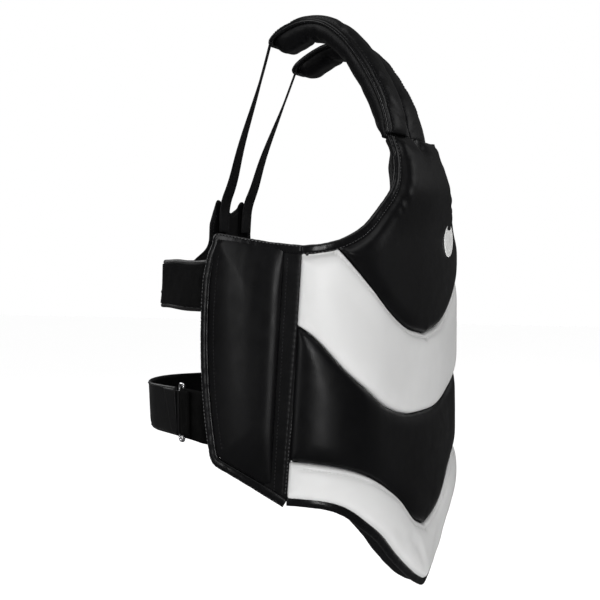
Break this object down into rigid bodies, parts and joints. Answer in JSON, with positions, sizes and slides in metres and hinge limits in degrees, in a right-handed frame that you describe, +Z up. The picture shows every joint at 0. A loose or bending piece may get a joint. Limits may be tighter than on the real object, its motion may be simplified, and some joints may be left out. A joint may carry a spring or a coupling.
{
  "type": "trainer belly pad",
  "caption": "Padded torso protector with a pointed front, hinged side wings, shoulder straps, a back yoke and hook-and-loop back straps.",
  "frame": {"origin": "on the middle line of the torso space, near its centre and just under the armholes", "axes": "+Z up along the torso, the wearer faces -Y, the wearer's right side is at -X"},
  "size_m": [0.4421, 0.3714, 0.698],
  "materials": {
    "black_leather": "semi-gloss grained synthetic leather",
    "white_leather": "semi-gloss grained synthetic leather",
    "badge": "smooth satin patch",
    "foam": "closed-cell foam",
    "lining": "smooth nylon lining",
    "binding": "glossy folded edge tape",
    "hook_tape": "matt hook tape",
    "loop_tape": "velvety loop tape",
    "webbing": "woven webbing",
    "yoke_fabric": "woven synthetic fabric",
    "strap_fabric": "synthetic fabric with elastic",
    "ring_metal": "polished plating"
  },
  "bodies": {
    "front": {"chest_panel": "black_leather", "upper_chevron": "white_leather", "belly_panel": "black_leather", "lower_chevron": "white_leather", "chest_badge": "badge", "front_shock_foam": "foam", "front_body_foam": "foam", "front_lining": "lining", "hem_binding": "binding", "right_armhole_binding": "binding", "left_armhole_binding": "binding", "neck_binding": "binding"},
    "right_wing": {"right_hinge_band": "black_leather", "right_wing_cover": "black_leather", "right_wing_foam": "foam", "right_wing_lining": "lining", "right_wing_binding": "binding", "right_wing_upper_loop_patch": "loop_tape", "right_wing_lower_loop_patch": "loop_tape"},
    "left_wing": {"left_hinge_band": "black_leather", "left_wing_cover": "black_leather", "left_wing_foam": "foam", "left_wing_lining": "lining", "left_wing_binding": "binding", "upper_strap_root": "black_leather", "lower_strap_root": "black_leather"},
    "upper_strap": {"upper_strap": "strap_fabric", "upper_strap_hook_patch": "hook_tape", "upper_strap_loop_field": "loop_tape", "back_yoke": "yoke_fabric", "right_yoke_loop_patch": "loop_tape", "left_yoke_loop_patch": "loop_tape"},
    "lower_belt": {"lower_belt": "black_leather"},
    "belt_ring": {"belt_ring": "ring_metal"},
    "lower_tab": {"lower_tab": "webbing", "lower_tab_hook_patch": "hook_tape"},
    "right_shoulder": {"right_shoulder_cover": "black_leather", "right_shoulder_foam": "foam", "right_shoulder_lining": "lining", "right_shoulder_piping": "binding"},
    "right_webbing": {"right_webbing": "webbing", "right_webbing_hook_patch": "hook_tape"},
    "left_shoulder": {"left_shoulder_cover": "black_leather", "left_shoulder_foam": "foam", "left_shoulder_lining": "lining", "left_shoulder_piping": "binding"},
    "left_webbing": {"left_webbing": "webbing", "left_webbing_hook_patch": "hook_tape"}
  },
  "joints": [
    {"name": "right_wing_swing", "type": "hinge", "parent": "front", "child": "right_wing", "pos_m": [-0.19693, -0.085, -0.1245], "axis": [0.0181, -0.0577, 0.9982], "range_deg": [0, 75]},
    {"name": "left_wing_swing", "type": "hinge", "parent": "front", "child": "left_wing", "pos_m": [0.19693, -0.085, -0.1245], "axis": [0.0181, 0.0577, -0.9982], "range_deg": [0, 75]},
    {"name": "right_shoulder_fold", "type": "hinge", "parent": "front", "child": "right_shoulder", "pos_m": [-0.041, -0.12905, 0.14897], "axis": [-1, 0, 0], "range_deg": [0, 25]},
    {"name": "right_webbing_swing", "type": "hinge", "parent": "right_shoulder", "child": "right_webbing", "pos_m": [-0.03, 0.02194, 0.26513], "axis": [-1, 0, 0], "range_deg": [0, 17]},
    {"name": "left_shoulder_fold", "type": "hinge", "parent": "front", "child": "left_shoulder", "pos_m": [0.041, -0.12108, 0.14858], "axis": [-1, 0, 0], "range_deg": [0, 25]},
    {"name": "left_webbing_swing", "type": "hinge", "parent": "left_shoulder", "child": "left_webbing", "pos_m": [0.03, 0.02826, 0.23922], "axis": [-1, 0, 0], "range_deg": [0, 17]},
    {"name": "upper_strap_swing", "type": "hinge", "parent": "left_wing", "child": "upper_strap", "pos_m": [0.2231, -0.03, -0.027], "axis": [0, 0, -1], "range_deg": [0, 90]},
    {"name": "lower_belt_swing", "type": "hinge", "parent": "left_wing", "child": "lower_belt", "pos_m": [0.2231, -0.03, -0.18], "axis": [0, 0, -1], "range_deg": [0, 90]},
    {"name": "belt_ring_pivot", "type": "hinge", "parent": "lower_belt", "child": "belt_ring", "pos_m": [-0.13467, 0.09641, -0.18], "axis": [0, 0, 1], "range_deg": [0, 40]},
    {"name": "lower_tab_pivot", "type": "hinge", "parent": "belt_ring", "child": "lower_tab", "pos_m": [-0.14202, 0.08693, -0.18], "axis": [0, 0, 1], "range_deg": [0, 60]}
  ]
}
